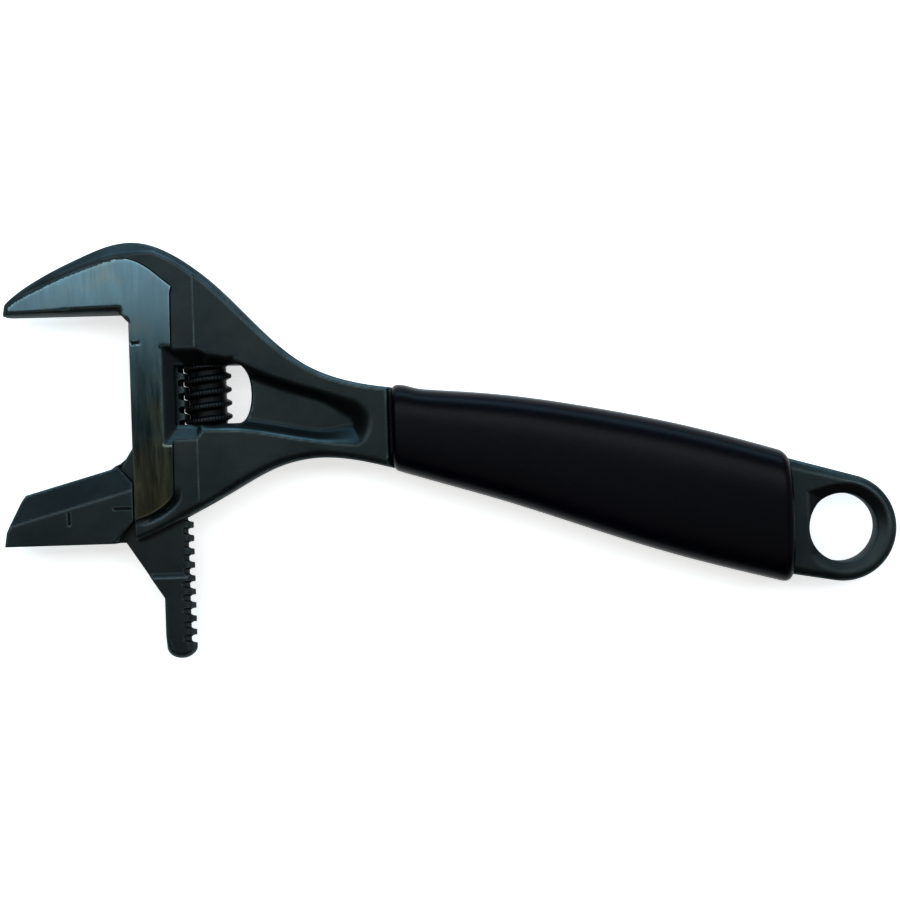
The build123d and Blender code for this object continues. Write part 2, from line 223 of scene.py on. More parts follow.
def rounded(z, d, radius):
    """Height z eased down over an edge with that radius, d away from the edge."""
    t = np.clip(d, 0, radius)
    return z - radius + np.sqrt(np.maximum(radius**2 - (radius - t) ** 2, 0))


def soft_min(a, b, blend=0.25):
    h = np.clip(0.5 + 0.5 * (b - a) / blend, 0, 1)
    return b * (1 - h) + a * h - blend * h * (1 - h)


# ---- meshes -----------------------------------------------------------------------------------


def mesh_object(name, points, faces, material, body):
    """A smooth-shaded mesh of points in millimetres, riding on a CAD body."""
    mesh = bpy.data.meshes.new(name)
    mesh.from_pydata([tuple(p) for p in np.array(points) * MM], [], faces)
    mesh.validate()
    mesh.polygons.foreach_set("use_smooth", [True] * len(mesh.polygons))
    made = bpy.data.objects.new(name, mesh)
    bpy.context.scene.collection.objects.link(made)
    made.data.materials.append(material)
    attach(made, body)
    return made


def fill(rings, hints):
    """Triangles over the inside of the first ring and outside the others, fine enough to
    carry a relief. Hints are lines that the triangles' edges follow."""
    outer = rings[0]
    low, high = outer.min(0), outer.max(0)
    columns = np.arange(low[0], high[0], GRID)
    rows = np.arange(low[1], high[1], GRID * 0.87)
    gx, gy = np.meshgrid(columns, rows)
    gx[1::2] += GRID / 2
    cloud = np.stack([gx.ravel(), gy.ravel()], axis=1)
    covered = (cloud[:, 0] > GRIP_FRONT_X + 3) & (cloud[:, 0] < GRIP_REAR_X - 3)
    sparse = (np.arange(len(cloud)) % 16) == 0
    cloud = cloud[~covered | sparse]
    cloud = cloud[in_region(cloud, rings)]
    for path in rings:
        cloud = cloud[distance(cloud, path, closed=True) > GRID * 0.45]
    for path in hints:
        cloud = cloud[distance(cloud, path) > GRID * 0.3]
    points, edges = list(cloud), []
    for ring in rings:
        first = len(points)
        points += list(ring)
        edges += [(first + i, first + (i + 1) % len(ring)) for i in range(len(ring))]
    for path in hints:
        keep = in_region(path, rings)
        for ring in rings:
            keep &= distance(path, ring, closed=True) > 0.06
        first = len(points)
        points += list(path)
        runs = [i for i in range(len(path) - 1) if keep[i] and keep[i + 1]]
        edges += [(first + i, first + i + 1) for i in runs]
    made = geometry.delaunay_2d_cdt([tuple(p) for p in points], edges, [], 0, 1e-5)
    flat = np.array([tuple(v) for v in made[0]])
    triangles = np.array([f for f in made[2] if len(f) == 3])
    return flat, triangles[in_region(flat[triangles].mean(1), rings)]


def relief_solid(name, rings, hints, height, material, body):
    """A solid with the same relief on both faces: height() gives its half thickness."""
    flat, triangles = fill(rings, hints)
    used, triangles = np.unique(triangles, return_inverse=True)
    flat, triangles = flat[used], triangles.reshape(-1, 3)
    a, b, c = (flat[triangles[:, i]] for i in range(3))
    turned = np.cross(b - a, c - a) < 0
    triangles[turned] = triangles[turned][:, ::-1]
    z = height(flat)
    n = len(flat)
    points = np.concatenate([np.column_stack([flat, z]), np.column_stack([flat, -z])])
    sides = {}
    for i, j, k in triangles:
        for edge in ((i, j), (j, k), (k, i)):
            sides[edge] = sides.get(edge, 0) + 1
    rim = [edge for edge in sides if (edge[1], edge[0]) not in sides]
    faces = [tuple(int(v) for v in t) for t in triangles]
    faces += [tuple(int(v) + n for v in t[::-1]) for t in triangles]
    faces += [(int(j), int(i), int(i) + n, int(j) + n) for i, j in rim]
    return mesh_object(name, points, faces, material, body)


def face_data(target):
    """The middles (in millimetres) and normals of a piece's faces."""
    count = len(target.data.polygons)
    centres, normals = np.zeros(count * 3), np.zeros(count * 3)
    target.data.polygons.foreach_get("center", centres)
    target.data.polygons.foreach_get("normal", normals)
    return centres.reshape(-1, 3) / MM, normals.reshape(-1, 3)


def mark_edges(target):
    """Stores how strongly each point lies on an outer edge, for the lighter edges in the finish: partly
    polish wear, partly painted edge highlight.
    """
    mesh = target.data
    count = len(mesh.vertices)
    points, normals = np.zeros(count * 3), np.zeros(count * 3)
    mesh.vertices.foreach_get("co", points)
    mesh.vertices.foreach_get("normal", normals)
    points, normals = points.reshape(-1, 3), normals.reshape(-1, 3)
    ends = np.zeros(len(mesh.edges) * 2, np.int32)
    mesh.edges.foreach_get("vertices", ends)
    a, b = ends.reshape(-1, 2).T
    run = points[a] - points[b]
    run /= np.maximum(np.linalg.norm(run, axis=1), 1e-9)[:, None]
    total, edges = np.zeros(count), np.zeros(count)
    np.add.at(total, a, (normals[a] * run).sum(1))
    np.add.at(total, b, -(normals[b] * run).sum(1))
    np.add.at(edges, a, 1)
    np.add.at(edges, b, 1)
    bulge = total / np.maximum(edges, 1)
    layer = mesh.attributes.new("edge_wear_highlight", "FLOAT", "POINT")
    layer.data.foreach_set("value", np.clip((bulge - 0.02) / 0.10, 0, 1).astype(np.float32))


def lathe_strips(rings):
    """Quads that join rings of equal length, each ring being closed."""
    n = len(rings[0])
    faces = []
    for r in range(len(rings) - 1):
        for i in range(n):
            k = (i + 1) % n
            faces.append((r * n + i, r * n + k, (r + 1) * n + k, (r + 1) * n + i))
    return faces


# ---- materials ----------------------------------------------------------------------------------


class Look:
    """A small helper that builds one procedural material."""

    def __init__(self, name, **sockets):
        self.material = bpy.data.materials.new(name)
        self.material.use_nodes = True
        self.tree = self.material.node_tree
        self.shader = self.tree.nodes["Principled BSDF"]
        for socket, value in sockets.items():
            self.shader.inputs[socket.replace("_", " ")].default_value = value
        self.place = self.node("ShaderNodeTexCoord").outputs["Object"]
        self.height = None

    def node(self, kind, **settings):
        made = self.tree.nodes.new(kind)
        for key, value in settings.items():
            setattr(made, key, value)
        return made

    def link(self, a, b):
        self.tree.links.new(a, b)

    def noise(self, scale, detail=4.0, roughness=0.55, stretch=(1, 1, 1)):
        mapping = self.node("ShaderNodeMapping")
        mapping.inputs["Scale"].default_value = stretch
        self.link(self.place, mapping.inputs["Vector"])
        made = self.node("ShaderNodeTexNoise")
        made.inputs["Scale"].default_value = scale
        made.inputs["Detail"].default_value = detail
        made.inputs["Roughness"].default_value = roughness
        self.link(mapping.outputs["Vector"], made.inputs["Vector"])
        return made.outputs["Fac"]

    def scratches(self, scale, stretch):
        return self.noise(scale, detail=2.0, roughness=0.7, stretch=stretch)

    def blend_range(self, value, low, high, out_low, out_high):
        made = self.node("ShaderNodeMapRange")
        for socket, number in zip(range(1, 5), (low, high, out_low, out_high)):
            made.inputs[socket].default_value = number
        self.link(value, made.inputs[0])
        return made.outputs[0]

    def mix(self, factor, a, b):
        made = self.node("ShaderNodeMix", data_type="RGBA")
        self.link(factor, made.inputs["Factor"])
        for socket, colour in (("A", a), ("B", b)):
            target = [i for i in made.inputs if i.name == socket and i.type == "RGBA"][0]
            if isinstance(colour, tuple):
                target.default_value = (*colour, 1)
            else:
                self.link(colour, target)
        return [o for o in made.outputs if o.type == "RGBA"][0]

    def paint(self, colour):
        self.link(colour, self.shader.inputs["Base Color"])

    def rough(self, value):
        self.link(value, self.shader.inputs["Roughness"])

    def bump(self, value, strength, depth):
        """Adds a layer of relief, its depth in metres."""
        made = self.node("ShaderNodeBump")
        made.inputs["Strength"].default_value = strength
        made.inputs["Distance"].default_value = depth
        self.link(value, made.inputs["Height"])
        if self.height is not None:
            self.link(self.height, made.inputs["Normal"])
        self.height = made.outputs["Normal"]
        self.link(self.height, self.shader.inputs["Normal"])

    def wear_and_highlight_edges(self, amount):
        """A mask of the outer edges, in patches, where the finish is painted lighter: partly polish
        from handling, partly painted edge highlight.
        """
        edges = self.node("ShaderNodeAttribute", attribute_name="edge_wear_highlight").outputs["Fac"]
        patches = self.blend_range(self.noise(150, detail=5), 0.3, 0.6, 0.35 * amount, amount)
        both = self.node("ShaderNodeMath", operation="MULTIPLY")
        self.link(edges, both.inputs[0])
        self.link(patches, both.inputs[1])
        return both.outputs[0]

    def along_y(self, low, high):
        """0 below low and 1 above high along the piece's own Y, in metres."""
        split = self.node("ShaderNodeSeparateXYZ")
        self.link(self.place, split.inputs[0])
        return self.blend_range(split.outputs["Y"], low, high, 0.0, 1.0)


def forged_look():
    look = Look("phosphated_forging", Metallic=0.85, Specular_Tint=(0.4, 0.4, 0.4, 1))
    cloud = look.noise(90, detail=6)
    grain = look.noise(2600, detail=3)
    tone = look.blend_range(cloud, 0.35, 0.65, 0.0, 1.0)
    base = look.mix(tone, (0.030, 0.039, 0.042), (0.044, 0.053, 0.054))
    # Outer edges painted lighter: partly polish wear, partly painted edge highlight.
    look.paint(look.mix(look.wear_and_highlight_edges(0.65), base, (0.13, 0.17, 0.18)))
    look.rough(look.blend_range(grain, 0.3, 0.7, 0.36, 0.48))
    look.bump(look.noise(420, detail=5), 0.22, 0.00010)
    look.bump(grain, 0.30, 0.00003)
    return look.material


def ground_look():
    look = Look("ground_pad", Metallic=0.92, Specular_Tint=(0.4, 0.4, 0.4, 1))
    cloud = look.noise(60, detail=5)
    lines = look.scratches(900, (1, 0.1, 1))
    tone = look.blend_range(cloud, 0.35, 0.65, 0.0, 1.0)
    # Painted sheen: the pad's steel is painted lighter towards its top along Y, where the overhead
    # light's reflection falls, over a darker copy lower down.
    sheen_lit_pad_steel = look.mix(tone, (0.074, 0.118, 0.140), (0.088, 0.136, 0.158))
    sheen_dark_pad_steel = look.mix(tone, (0.040, 0.068, 0.072), (0.054, 0.082, 0.086))
    steel = look.mix(look.along_y(0.034, 0.058), sheen_dark_pad_steel, sheen_lit_pad_steel)
    # A warmer brownish tone towards the bottom of the pad, in noisy patches.
    warm_lower_tone = look.mix(tone, (0.145, 0.137, 0.080), (0.190, 0.160, 0.090))
    spread = look.noise(130, detail=3)
    rise = look.along_y(0.002, 0.042)
    patches = look.node("ShaderNodeMath", operation="ADD")
    look.link(look.blend_range(spread, 0.3, 0.7, -0.25, 0.25), patches.inputs[0])
    look.link(rise, patches.inputs[1])
    base = look.mix(look.blend_range(patches.outputs[0], 0.1, 0.9, 0.0, 1.0), warm_lower_tone, steel)
    base = look.mix(look.blend_range(lines, 0.45, 0.75, 0.0, 0.12), base, (0.12, 0.15, 0.16))
    # Outer edges painted lighter: partly polish wear, partly painted edge highlight.
    look.paint(look.mix(look.wear_and_highlight_edges(0.5), base, (0.20, 0.25, 0.26)))
    look.rough(look.blend_range(lines, 0.3, 0.7, 0.15, 0.24))
    look.bump(lines, 0.06, 0.00001)
    return look.material


def fill_look():
    look = Look("black_fill", Metallic=0.0, Specular_IOR_Level=0.3)
    tone = look.blend_range(look.noise(900), 0.3, 0.7, 0.0, 1.0)
    look.paint(look.mix(tone, (0.002, 0.002, 0.003), (0.006, 0.006, 0.007)))
    look.rough(look.blend_range(look.noise(1800), 0.3, 0.7, 0.55, 0.75))
    return look.material


def worm_look():
    look = Look("blackened_worm", Metallic=0.8)
    cloud = look.noise(300, detail=4)
    tone = look.blend_range(cloud, 0.35, 0.65, 0.0, 1.0)
    base = look.mix(tone, (0.012, 0.013, 0.014), (0.022, 0.023, 0.025))
    # Thread edges painted lighter: partly polish wear, partly painted edge highlight.
    look.paint(look.mix(look.wear_and_highlight_edges(0.5), base, (0.07, 0.075, 0.075)))
    look.rough(look.blend_range(look.noise(2400), 0.3, 0.7, 0.32, 0.46))
    look.bump(look.noise(1500, detail=3), 0.25, 0.00004)
    return look.material


def spring_look():
    look = Look("spring_wire", Metallic=1.0)
    tone = look.blend_range(look.noise(900), 0.3, 0.7, 0.0, 1.0)
    look.paint(look.mix(tone, (0.32, 0.32, 0.33), (0.42, 0.42, 0.43)))
    look.rough(look.blend_range(look.noise(3000), 0.3, 0.7, 0.25, 0.4))
    return look.material


def grip_look():
    look = Look("soft_grip_rubber", Metallic=0.0, Specular_IOR_Level=0.17)
    cloud = look.noise(40, detail=5)
    pores = look.noise(3200, detail=2)
    tone = look.blend_range(cloud, 0.35, 0.65, 0.0, 1.0)
    look.paint(look.mix(tone, (0.0004, 0.0006, 0.0034), (0.0010, 0.0013, 0.0060)))
    look.rough(look.blend_range(pores, 0.3, 0.7, 0.27, 0.36))
    look.bump(look.noise(700, detail=4), 0.20, 0.00005)
    look.bump(pores, 0.35, 0.00003)
    return look.material


forged = forged_look()
ground = ground_look()
black_fill = fill_look()
blackened = worm_look()
wire = spring_look()
rubber = grip_look()


# ---- forging: fixed jaw, head, neck, shank and ring -----------------------------------------------


def grip_line(x, side):
    """Where the grip's upper (+1) or lower (-1) edge is in Y at each X."""
    upper = [(-105.6, 36.6), (-98.4, 35.9), (-81.0, 34.2), (-57.2, 30.1), (-39.0, 26.0), (-12.0, 18.2)]
    lower = [(-105.6, 17.1), (-93.3, 13.2), (-81.6, 9.5), (-58.2, 1.2), (-40.0, -5.0), (-12.0, -12.8)]
    path = spline(upper if side > 0 else lower)
    return np.interp(x, path[:, 0], path[:, 1])


def forging_edges():
    """The named stretches of the forging's outline, going round clockwise from the jaw's tip."""
    tip = (JAW_TIP_X, FIXED_FACE_Y)
    nose = (JAW_TIP_X + 0.4, FIXED_FACE_Y + 2.6)
    neck_top, neck_bottom = (GRIP_FRONT_X + 0.2, 36.5), (GRIP_FRONT_X + 0.2, 17.5)
    lip = (THROAT_X, 2.4)
    crown = spline(
        [
            nose,
            (-189.0, 63.9),
            (-177.0, 69.6),
            (-165.2, HEAD_TOP_Y),
            (-155.6, 69.2),
            (-140.3, 55.8),
            (-124.4, 41.9),
            neck_top,
        ],
        (2, 2),
        (1, -0.12),
    )
    shank_x = np.linspace(GRIP_FRONT_X + 0.2, GRIP_REAR_X - 3, 60)
    upper = np.column_stack([shank_x, grip_line(shank_x, 1) - GRIP_WALL])
    lower = np.column_stack([shank_x, grip_line(shank_x, -1) + GRIP_WALL])[::-1]
    band_top, band_bottom = (BAND_START_X, 17.2), (BAND_START_X, -10.3)
    top_angle, bottom_angle = (touch_angle(*band_top, 1), touch_angle(*band_bottom, -1))
    ring = arc((0, 0), RING_RADIUS, top_angle, bottom_angle)
    belly = spline(
        [(-141.6, 14.4), (-132.5, 18.8), (-122.0, 20.5), neck_bottom], (1, 0.56), (1, -0.28)
    )[::-1]
    lower_lip = spline([lip, (-159.1, 5.4), (-141.6, 14.4)], (1, 0.34), (1, 0.56))[::-1]
    throat_top = (THROAT_X, FIXED_FACE_Y - THROAT_CHAMFER)
    jaw_root = (THROAT_X - THROAT_CHAMFER, FIXED_FACE_Y)
    return {
        "crown": crown,
        "shank_upper": np.concatenate([line(neck_top, upper[0]), upper]),
        "ring": np.concatenate(
            [line(upper[-1], band_top), line(band_top, ring[0]), ring, line(ring[-1], band_bottom)]
        ),
        "shank_lower": np.concatenate([line(band_bottom, lower[0]), lower]),
        "belly": np.concatenate([line(lower[-1], neck_bottom), belly]),
        "lower_lip": lower_lip,
        "throat": line(lip, throat_top),
        "throat_corner": line(throat_top, jaw_root),
        "gripping_face": line(jaw_root, tip),
        "tip": line(tip, nose),
    }


def touch_angle(x, y, side):
    """The angle on the ring where a line from (x, y) touches it, in degrees."""
    swing = side * math.acos(RING_RADIUS / math.hypot(x, y))
    return math.degrees(math.atan2(y, x) - swing)


def pad_ring():
    """The ground L-shaped pad: along the fixed jaw and down the throat."""
    tip_low, tip_high = (JAW_TIP_X + 0.5, FIXED_FACE_Y - 1), (JAW_TIP_X + 1.2, 59.4)
    crest, shoulder = (-168.2, 68.7), (-156.0, 61.8)
    right_low, foot = (-156.9, 14.0), (THROAT_X - 1, 7.0)
    return loop(
        line(tip_low, tip_high),
        spline([tip_high, (-183.2, 64.4), crest], (1, 0.5), (1, 0.12)),
        spline([crest, (-161.6, 66.4), shoulder], (1, 0.05), (1, -0.75)),
        line(shoulder, (-156.4, 60)),
        line((-156.4, 60), right_low),
        spline([right_low, (-159.6, 10.2), foot], (0, -1), (-1, -0.22)),
        line(foot, (THROAT_X - 1, FIXED_FACE_Y - 1)),
    )


def window_ring():
    """The worm's window, its right-hand end half an ellipse."""
    low, high = WINDOW_LOW_Y, WINDOW_HIGH_Y
    left, right, end = WINDOW_LEFT_X, WINDOW_RIGHT_X, WINDOW_END
    middle, half = (low + high) / 2, (high - low) / 2
    turn = np.radians(np.linspace(90, -90, 40))
    nose = np.column_stack([right - end + end * np.cos(turn), middle + half * np.sin(turn)])
    return loop(
        line((left, low), (left, high)),
        line((left, high), nose[0]),
        nose,
        line(nose[-1], (left, low)),
    )


def pocket_ring():
    """The recess between the neck's two ribs, from the window to the grip."""
    start, end = (-153.0, 46.2), (-153.0, 27.5)
    return loop(
        spline([start, (-146.0, 45.6), (-135.6, 41.6), (-114.5, 34.6)], (1, 0), (1, -0.3)),
        spline([(-114.5, 34.6), (-109.9, 29.0), (-114.3, 22.8)], (1, -0.3), (-1, 0.1)),
        spline([(-114.3, 22.8), (-129.0, 25.2), (-143.0, 27.5), end], (-1, 0.15), (-1, 0)),
        line(end, start),
    )


def dish_ring():
    """The shallow D-shaped dish round the hanging hole."""
    corner_top, corner_low = (DISH_FLAT_X, 9.2), (DISH_FLAT_X, -6.6)
    curve = arc((0, 0), DISH_RADIUS, 80, -130)
    return loop(
        spline([corner_top, curve[0]], (1, 0.3), (1, -0.1)),
        curve,
        line(curve[-1], corner_low),
        line(corner_low, corner_top),
    )


def thumb_relief(x, y):
    """Depth of the relief round the left of the window: the least of its sloping planes."""
    left = (x + 158.6) * 0.8
    below = (y - 25.2 - 2.6 * ramp(x, -151.6, -149.0)) * 0.6
    above = (47.5 - 2.1 * ramp(x, -151.0, -146.5) - y) * 0.95
    right = 6 * (1 - ramp(x, -147.0, -141.0))
    return np.minimum(np.minimum(left, right), np.minimum(below, above))


def forging_height(edges, pad, window, pocket, dish):
    """The function that gives the forging's half thickness at each point."""

    def height(p):
        x, y = p.T
        flank = np.interp(
            x,
            [-197, -172, -151, -106.5, -106.1, -16, -13],
            [4.0, 6.4, 6.4, 5.6, SHANK_HALF, SHANK_HALF, 4.0],
        )
        in_pad = depth_inside(p, pad)
        z = flank + PAD_STEP * ramp(in_pad, -0.18, 0.18)
        # A groove follows the pad's rounded foot, deeper towards the neck.
        foot = ramp(y, 15.0, 11.0) * ramp(x, -167.0, -159.0)
        z -= 0.9 * foot * np.exp(-(((in_pad + 0.85) / 0.55) ** 2))
        # The flank right of the band sits a little lower.
        z -= 0.12 * ramp(x, BAND_X - 0.15, BAND_X + 0.15) * ramp(x, -110, -135)

        # Bevels and rounded edges along the outline.
        bevels = {
            "crown": (
                [-196, -188, -176, -166, -160, -151, -138, -118, -104],
                [0.9, 2.1, 3.1, 3.9, 2.2, 2.2, 1.7, 1.3, 1.0],
                [0.7, 1.3, 2.0, 2.4, 1.8, 1.8, 1.5, 1.2, 0.9],
            ),
            "belly": ([-142, -125, -104], [1.8, 1.8, 1.2], [1.2, 1.2, 0.8]),
            "lower_lip": ([-167, -142], [1.1, 1.8], [0.8, 1.2]),
            "ring": ([-14, 0, 13], [2.0, 1.5, 1.3], [0.9, 0.9, 0.9]),
            "tip": ([-197, -195], [0.3, 0.3], [0.25, 0.25]),
            "gripping_face": ([-196, -169.5], [0.3, 1.0], [0.22, 0.75]),
        }
        for name, (at, widths, drops) in bevels.items():
            d = distance(p, edges[name])
            width, drop = np.interp(x, at, widths), np.interp(x, at, drops)
            base = flank + PAD_STEP * (name in ("crown", "gripping_face"))
            slope = base - drop * (1 - d / width)
            z = soft_min(z, slope, 0.3)
            z = rounded(z, d, 0.5)
        for name in ("throat", "throat_corner"):
            z = rounded(z, distance(p, edges[name]), 0.22)

        # The recesses: walls slope from their outer edge to a flat floor.
        in_pocket = depth_inside(p, pocket)
        wall = 3.0 + 3.6 * ramp(x, -124, -110)
        sunk = ramp(in_pocket, 0.0, wall) * ramp(x, -153, -147)
        z = np.where(in_pocket > 0, WEB_HALF + (z - WEB_HALF) * (1 - sunk), z)
        z = soft_min(z, flank + 0.35 - thumb_relief(x, y), 0.25)
        in_dish = depth_inside(p, dish)
        steep = 0.30 + 0.38 * ramp(y, -5, 6)
        z = soft_min(z, flank + 0.2 - steep * in_dish, 0.2)
        z = rounded(z, np.hypot(x, y) - HOLE_RADIUS, 0.3)
        z -= TICK_DEPTH * on_tick(p, PAD_TICKS)
        return rounded(z, distance(p, window, closed=True), 0.35)

    return height


def tick_hints(ticks):
    """Lines round the engraved marks that the mesh follows."""
    found = []
    for start, end in ticks:
        path = line(start, end, step=0.2)
        found += [path] + offset_lines(path, (-0.38, -0.22, 0.22, 0.38))
    return found


def offset_lines(path, distances, closed=False):
    """Copies of a line, moved sideways by each distance to its right-hand side."""
    run = np.gradient(path, axis=0)
    if closed:
        run = np.roll(path, -1, axis=0) - np.roll(path, 1, axis=0)
    normal = np.stack([run[:, 1], -run[:, 0]], axis=1)
    normal /= np.hypot(*normal.T)[:, None]
    return [path + normal * d for d in distances]


def prism(name, outline, half):
    """A plain straight prism that only serves as a cutting tool."""
    n = len(outline)
    points = [(x, y, half) for x, y in outline] + [(x, y, -half) for x, y in outline]
    faces = [tuple(range(n)), tuple(range(2 * n - 1, n - 1, -1))]
    faces += [(i, i + n, (i + 1) % n + n, (i + 1) % n) for i in range(n)]
    return tool(name, points, faces)


def rod(name, x, radius, low, high, sides=64):
    """A plain round rod along Y that only serves as a cutting tool."""
    turn = np.linspace(0, 2 * np.pi, sides, endpoint=False)
    points = [(x + radius * math.cos(t), y, radius * math.sin(t)) for y in (low, high) for t in turn]
    faces = [tuple(range(sides)), tuple(range(2 * sides - 1, sides - 1, -1))]
    faces += [(i, i + sides, (i + 1) % sides + sides, (i + 1) % sides) for i in range(sides)]
    return tool(name, points, faces)


def tool(name, points, faces):
    mesh = bpy.data.meshes.new(name)
    mesh.from_pydata([tuple(p) for p in np.array(points, float) * MM], [], faces)
    made = bpy.data.objects.new(name, mesh)
    bpy.context.scene.collection.objects.link(made)
    bpy.context.view_layer.objects.active = made
    bpy.ops.object.mode_set(mode="EDIT")
    bpy.ops.mesh.select_all(action="SELECT")
    bpy.ops.mesh.normals_make_consistent(inside=False)
    bpy.ops.object.mode_set(mode="OBJECT")
    return made


def cut(target, tools):
    """Cuts the tools out of the target, and removes them."""
    for cutter in tools:
        modifier = target.modifiers.new("cut", "BOOLEAN")
        modifier.operation = "DIFFERENCE"
        modifier.solver = "EXACT"
        modifier.object = cutter
    freeze(target)
    for cutter in tools:
        bpy.data.objects.remove(cutter)


def freeze(target):
    """Applies a piece's modifiers to its mesh."""
    graph = bpy.context.evaluated_depsgraph_get()
    done = bpy.data.meshes.new_from_object(target.evaluated_get(graph), depsgraph=graph)
    target.modifiers.clear()
    target.data = done


def crisp(target, degrees=38):
    """Smooth shading that stays sharp where faces meet at more than this angle."""
    mesh = target.data
    mesh.polygons.foreach_set("use_smooth", [True] * len(mesh.polygons))
    mesh.set_sharp_from_angle(angle=math.radians(degrees))


def make_forging():
    edges = forging_edges()
    outline = loop(*edges.values())
    pad, window, pocket, dish = pad_ring(), window_ring(), pocket_ring(), dish_ring()
    hole = arc((0, 0), HOLE_RADIUS, 0, 360)[:-1]
    hints = []
    for name in ("crown", "belly", "lower_lip", "ring", "gripping_face", "throat"):
        hints += offset_lines(edges[name], (0.12, 0.35))
    hints += offset_lines(hole, (0.1, 0.2, 0.32), closed=True)
    hints.append(line((JAW_TIP_X + 1, FIXED_FACE_Y + 0.3), (THROAT_X - 3.2, FIXED_FACE_Y + 1.0)))
    hints += offset_lines(pad, (-0.15, 0.0, 0.15), closed=True)
    hints += [line((x, -5), (x, 75)) for x in (BAND_X - 0.15, BAND_X + 0.15)]
    hints += tick_hints(PAD_TICKS)
    height = forging_height(edges, pad, window, pocket, dish)
    rings = [outline, window, hole]
    made = relief_solid("forged_body", rings, hints, height, forged, "wrench_body")
    climb = (RACK_X - THROAT_X) * math.tan(WEB_RAMP)
    slot = prism(
        "slot_tool",
        [
            (THROAT_X - OVERSIZE, BORE_LOW_Y),
            (THROAT_X - OVERSIZE, SLOT_TOP_Y),
            (THROAT_X, SLOT_TOP_Y),
            (RACK_X, SLOT_TOP_Y + climb),
            (RACK_X, BORE_LOW_Y),
        ],
        SLOT_HALF,
    )
    bore = rod("bore_tool", RACK_X, BORE_RADIUS, BORE_LOW_Y, HEAD_TOP_Y + OVERSIZE)
    pin_hole = rod("pin_tool", WORM_X, PIN_HOLE_RADIUS, BORE_LOW_Y, PIN_THREAD_TOP_Y)
    cut(made, [slot, bore, pin_hole])
    crisp(made)
    mark_edges(made)
    made.data.materials.append(ground)
    made.data.materials.append(black_fill)
    paint_pad(made, pad)
    paint_ticks(made, PAD_TICKS, 2)
    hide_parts("body")
    return made


def paint_pad(target, pad):
    """Gives the flat faces of the pad the ground finish."""
    centres, normals = face_data(target)
    on_pad = (depth_inside(centres[:, :2], pad) > 0.05) & (np.abs(normals[:, 2]) > 0.985)
    on_pad &= np.abs(centres[:, 2]) > 4.2
    target.data.polygons.foreach_set("material_index", on_pad.astype(np.int32))


# ---- movable jaw ----------------------------------------------------------------------------------


def jaw_corners():
    """The corners of the jaw's outline without the rack, clockwise from the rack's foot."""
    slope = math.tan(WEB_RAMP)
    bar_left = RACK_X - RACK_RADIUS
    low_start, high_start = (-169.2, BLOCK_BOTTOM_Y), (-169.0, 21.6)
    top_heel = (-172.0, 19.3)
    nose_x = -192.4
    return {
        "tail_left": (bar_left, low_start[1] - (bar_left - low_start[0]) * slope),
        "web_low": low_start,
        "block_low": (-171.3, BLOCK_BOTTOM_Y),
        "tip_low": (BLOCK_TIP_X, BLOCK_BOTTOM_Y),
        "tip_high": (BLOCK_TIP_X + 0.5, 5.2),
        "nose_low": (-193.4, 12.4),
        "nose_high": (nose_x, top_heel[1] + (nose_x - top_heel[0]) * PIPE_FACE_RISE),
        "top_heel": top_heel,
        "heel_high": (-170.8, 20.2),
        "web_high": high_start,
        "ramp_top": (RACK_X, high_start[1] + (RACK_X - high_start[0]) * slope),
    }


def jaw_outline():
    """The jaw's outline as one ring: tail, web, block, upper ramp, bar and rack side."""
    corners = jaw_corners()
    right = RACK_X + RACK_RADIUS
    turn = np.radians(np.linspace(0, -180, 24))
    foot = np.column_stack([np.cos(turn) * RACK_RADIUS, np.sin(turn) * FOOT_HEIGHT])
    foot += (RACK_X, RACK_END_Y + FOOT_HEIGHT)
    ramp_left = corners["ramp_top"][1] - RACK_RADIUS * math.tan(WEB_RAMP)
    path = [line((right, RACK_TOP_Y), (right, foot[0][1])), foot]
    chain = [foot[-1]] + [corners[name] for name in list(corners)[:-1]]
    chain += [(RACK_X - RACK_RADIUS, ramp_left), (RACK_X - RACK_RADIUS, RACK_TOP_Y)]
    path += [line(a, b) for a, b in zip(chain, chain[1:])]
    return loop(*path, line(chain[-1], (right, RACK_TOP_Y)))


